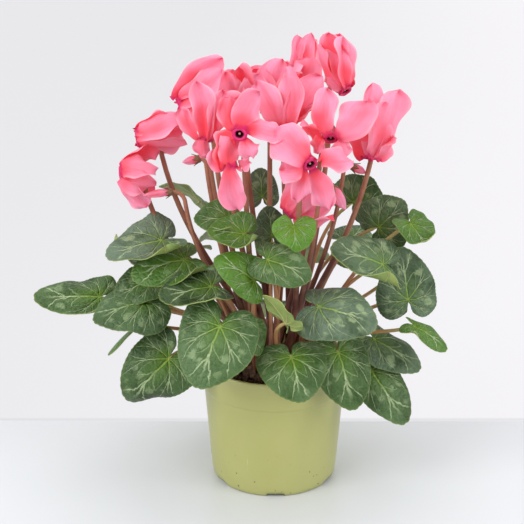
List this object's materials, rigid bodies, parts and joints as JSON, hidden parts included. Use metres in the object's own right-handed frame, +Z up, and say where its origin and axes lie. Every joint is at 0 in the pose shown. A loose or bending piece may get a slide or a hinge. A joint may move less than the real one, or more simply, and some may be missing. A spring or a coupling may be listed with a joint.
{
  "type": "potted cyclamen",
  "caption": "Florist's cyclamen in a round plastic nursery pot, with marbled heart-shaped leaves and nodding pink flowers on upright stalks.",
  "frame": {"origin": "on the table, under the centre of the pot's base", "axes": "+Z up along the pot's axis; -Y is the plant's front, +X to the right seen from the front"},
  "size_m": [0.3333, 0.1989, 0.3641],
  "materials": {
    "olive_plastic": "thin moulded polypropylene, pale olive, satin, slightly scuffed",
    "peat": "moist dark red-brown peat with crumbs",
    "tuber_skin": "corky brown skin",
    "leaf_green": "fleshy living leaf, dark green with silver-green marbling and pale veins, satin, stalk reddish",
    "petal_pink": "living petal, salmon pink with darker mouth, matt; stalk brownish red"
  },
  "bodies": {
    "root": {"pot": "olive_plastic", "potting_mix": "peat", "tuber": "tuber_skin", "leaf_01": "leaf_green", "leaf_02": "leaf_green", "leaf_03": "leaf_green", "leaf_04": "leaf_green", "leaf_05": "leaf_green", "leaf_06": "leaf_green", "leaf_07": "leaf_green", "leaf_08": "leaf_green", "leaf_09": "leaf_green", "leaf_10": "leaf_green", "leaf_11": "leaf_green", "leaf_12": "leaf_green", "leaf_13": "leaf_green", "leaf_14": "leaf_green", "leaf_15": "leaf_green", "leaf_16": "leaf_green", "leaf_17": "leaf_green", "leaf_18": "leaf_green", "leaf_19": "leaf_green", "leaf_20": "leaf_green", "leaf_21": "leaf_green", "leaf_22": "leaf_green", "leaf_23": "leaf_green", "leaf_24": "leaf_green", "leaf_25": "leaf_green", "leaf_26": "leaf_green", "leaf_27": "leaf_green", "leaf_28": "leaf_green", "leaf_29": "leaf_green", "leaf_30": "leaf_green", "leaf_31": "leaf_green", "leaf_32": "leaf_green", "leaf_33": "leaf_green", "leaf_34": "leaf_green", "leaf_35": "leaf_green", "leaf_36": "leaf_green", "leaf_37": "leaf_green", "leaf_38": "leaf_green", "flower_01": "petal_pink", "flower_02": "petal_pink", "flower_03": "petal_pink", "flower_04": "petal_pink", "flower_05": "petal_pink", "flower_06": "petal_pink", "flower_07": "petal_pink", "flower_08": "petal_pink", "flower_09": "petal_pink", "flower_10": "petal_pink", "flower_11": "petal_pink", "flower_12": "petal_pink", "flower_13": "petal_pink", "flower_14": "petal_pink", "flower_15": "petal_pink", "bud_01": "petal_pink", "bud_02": "petal_pink", "bud_03": "petal_pink", "bud_04": "petal_pink"}
  },
  "joints": []
}
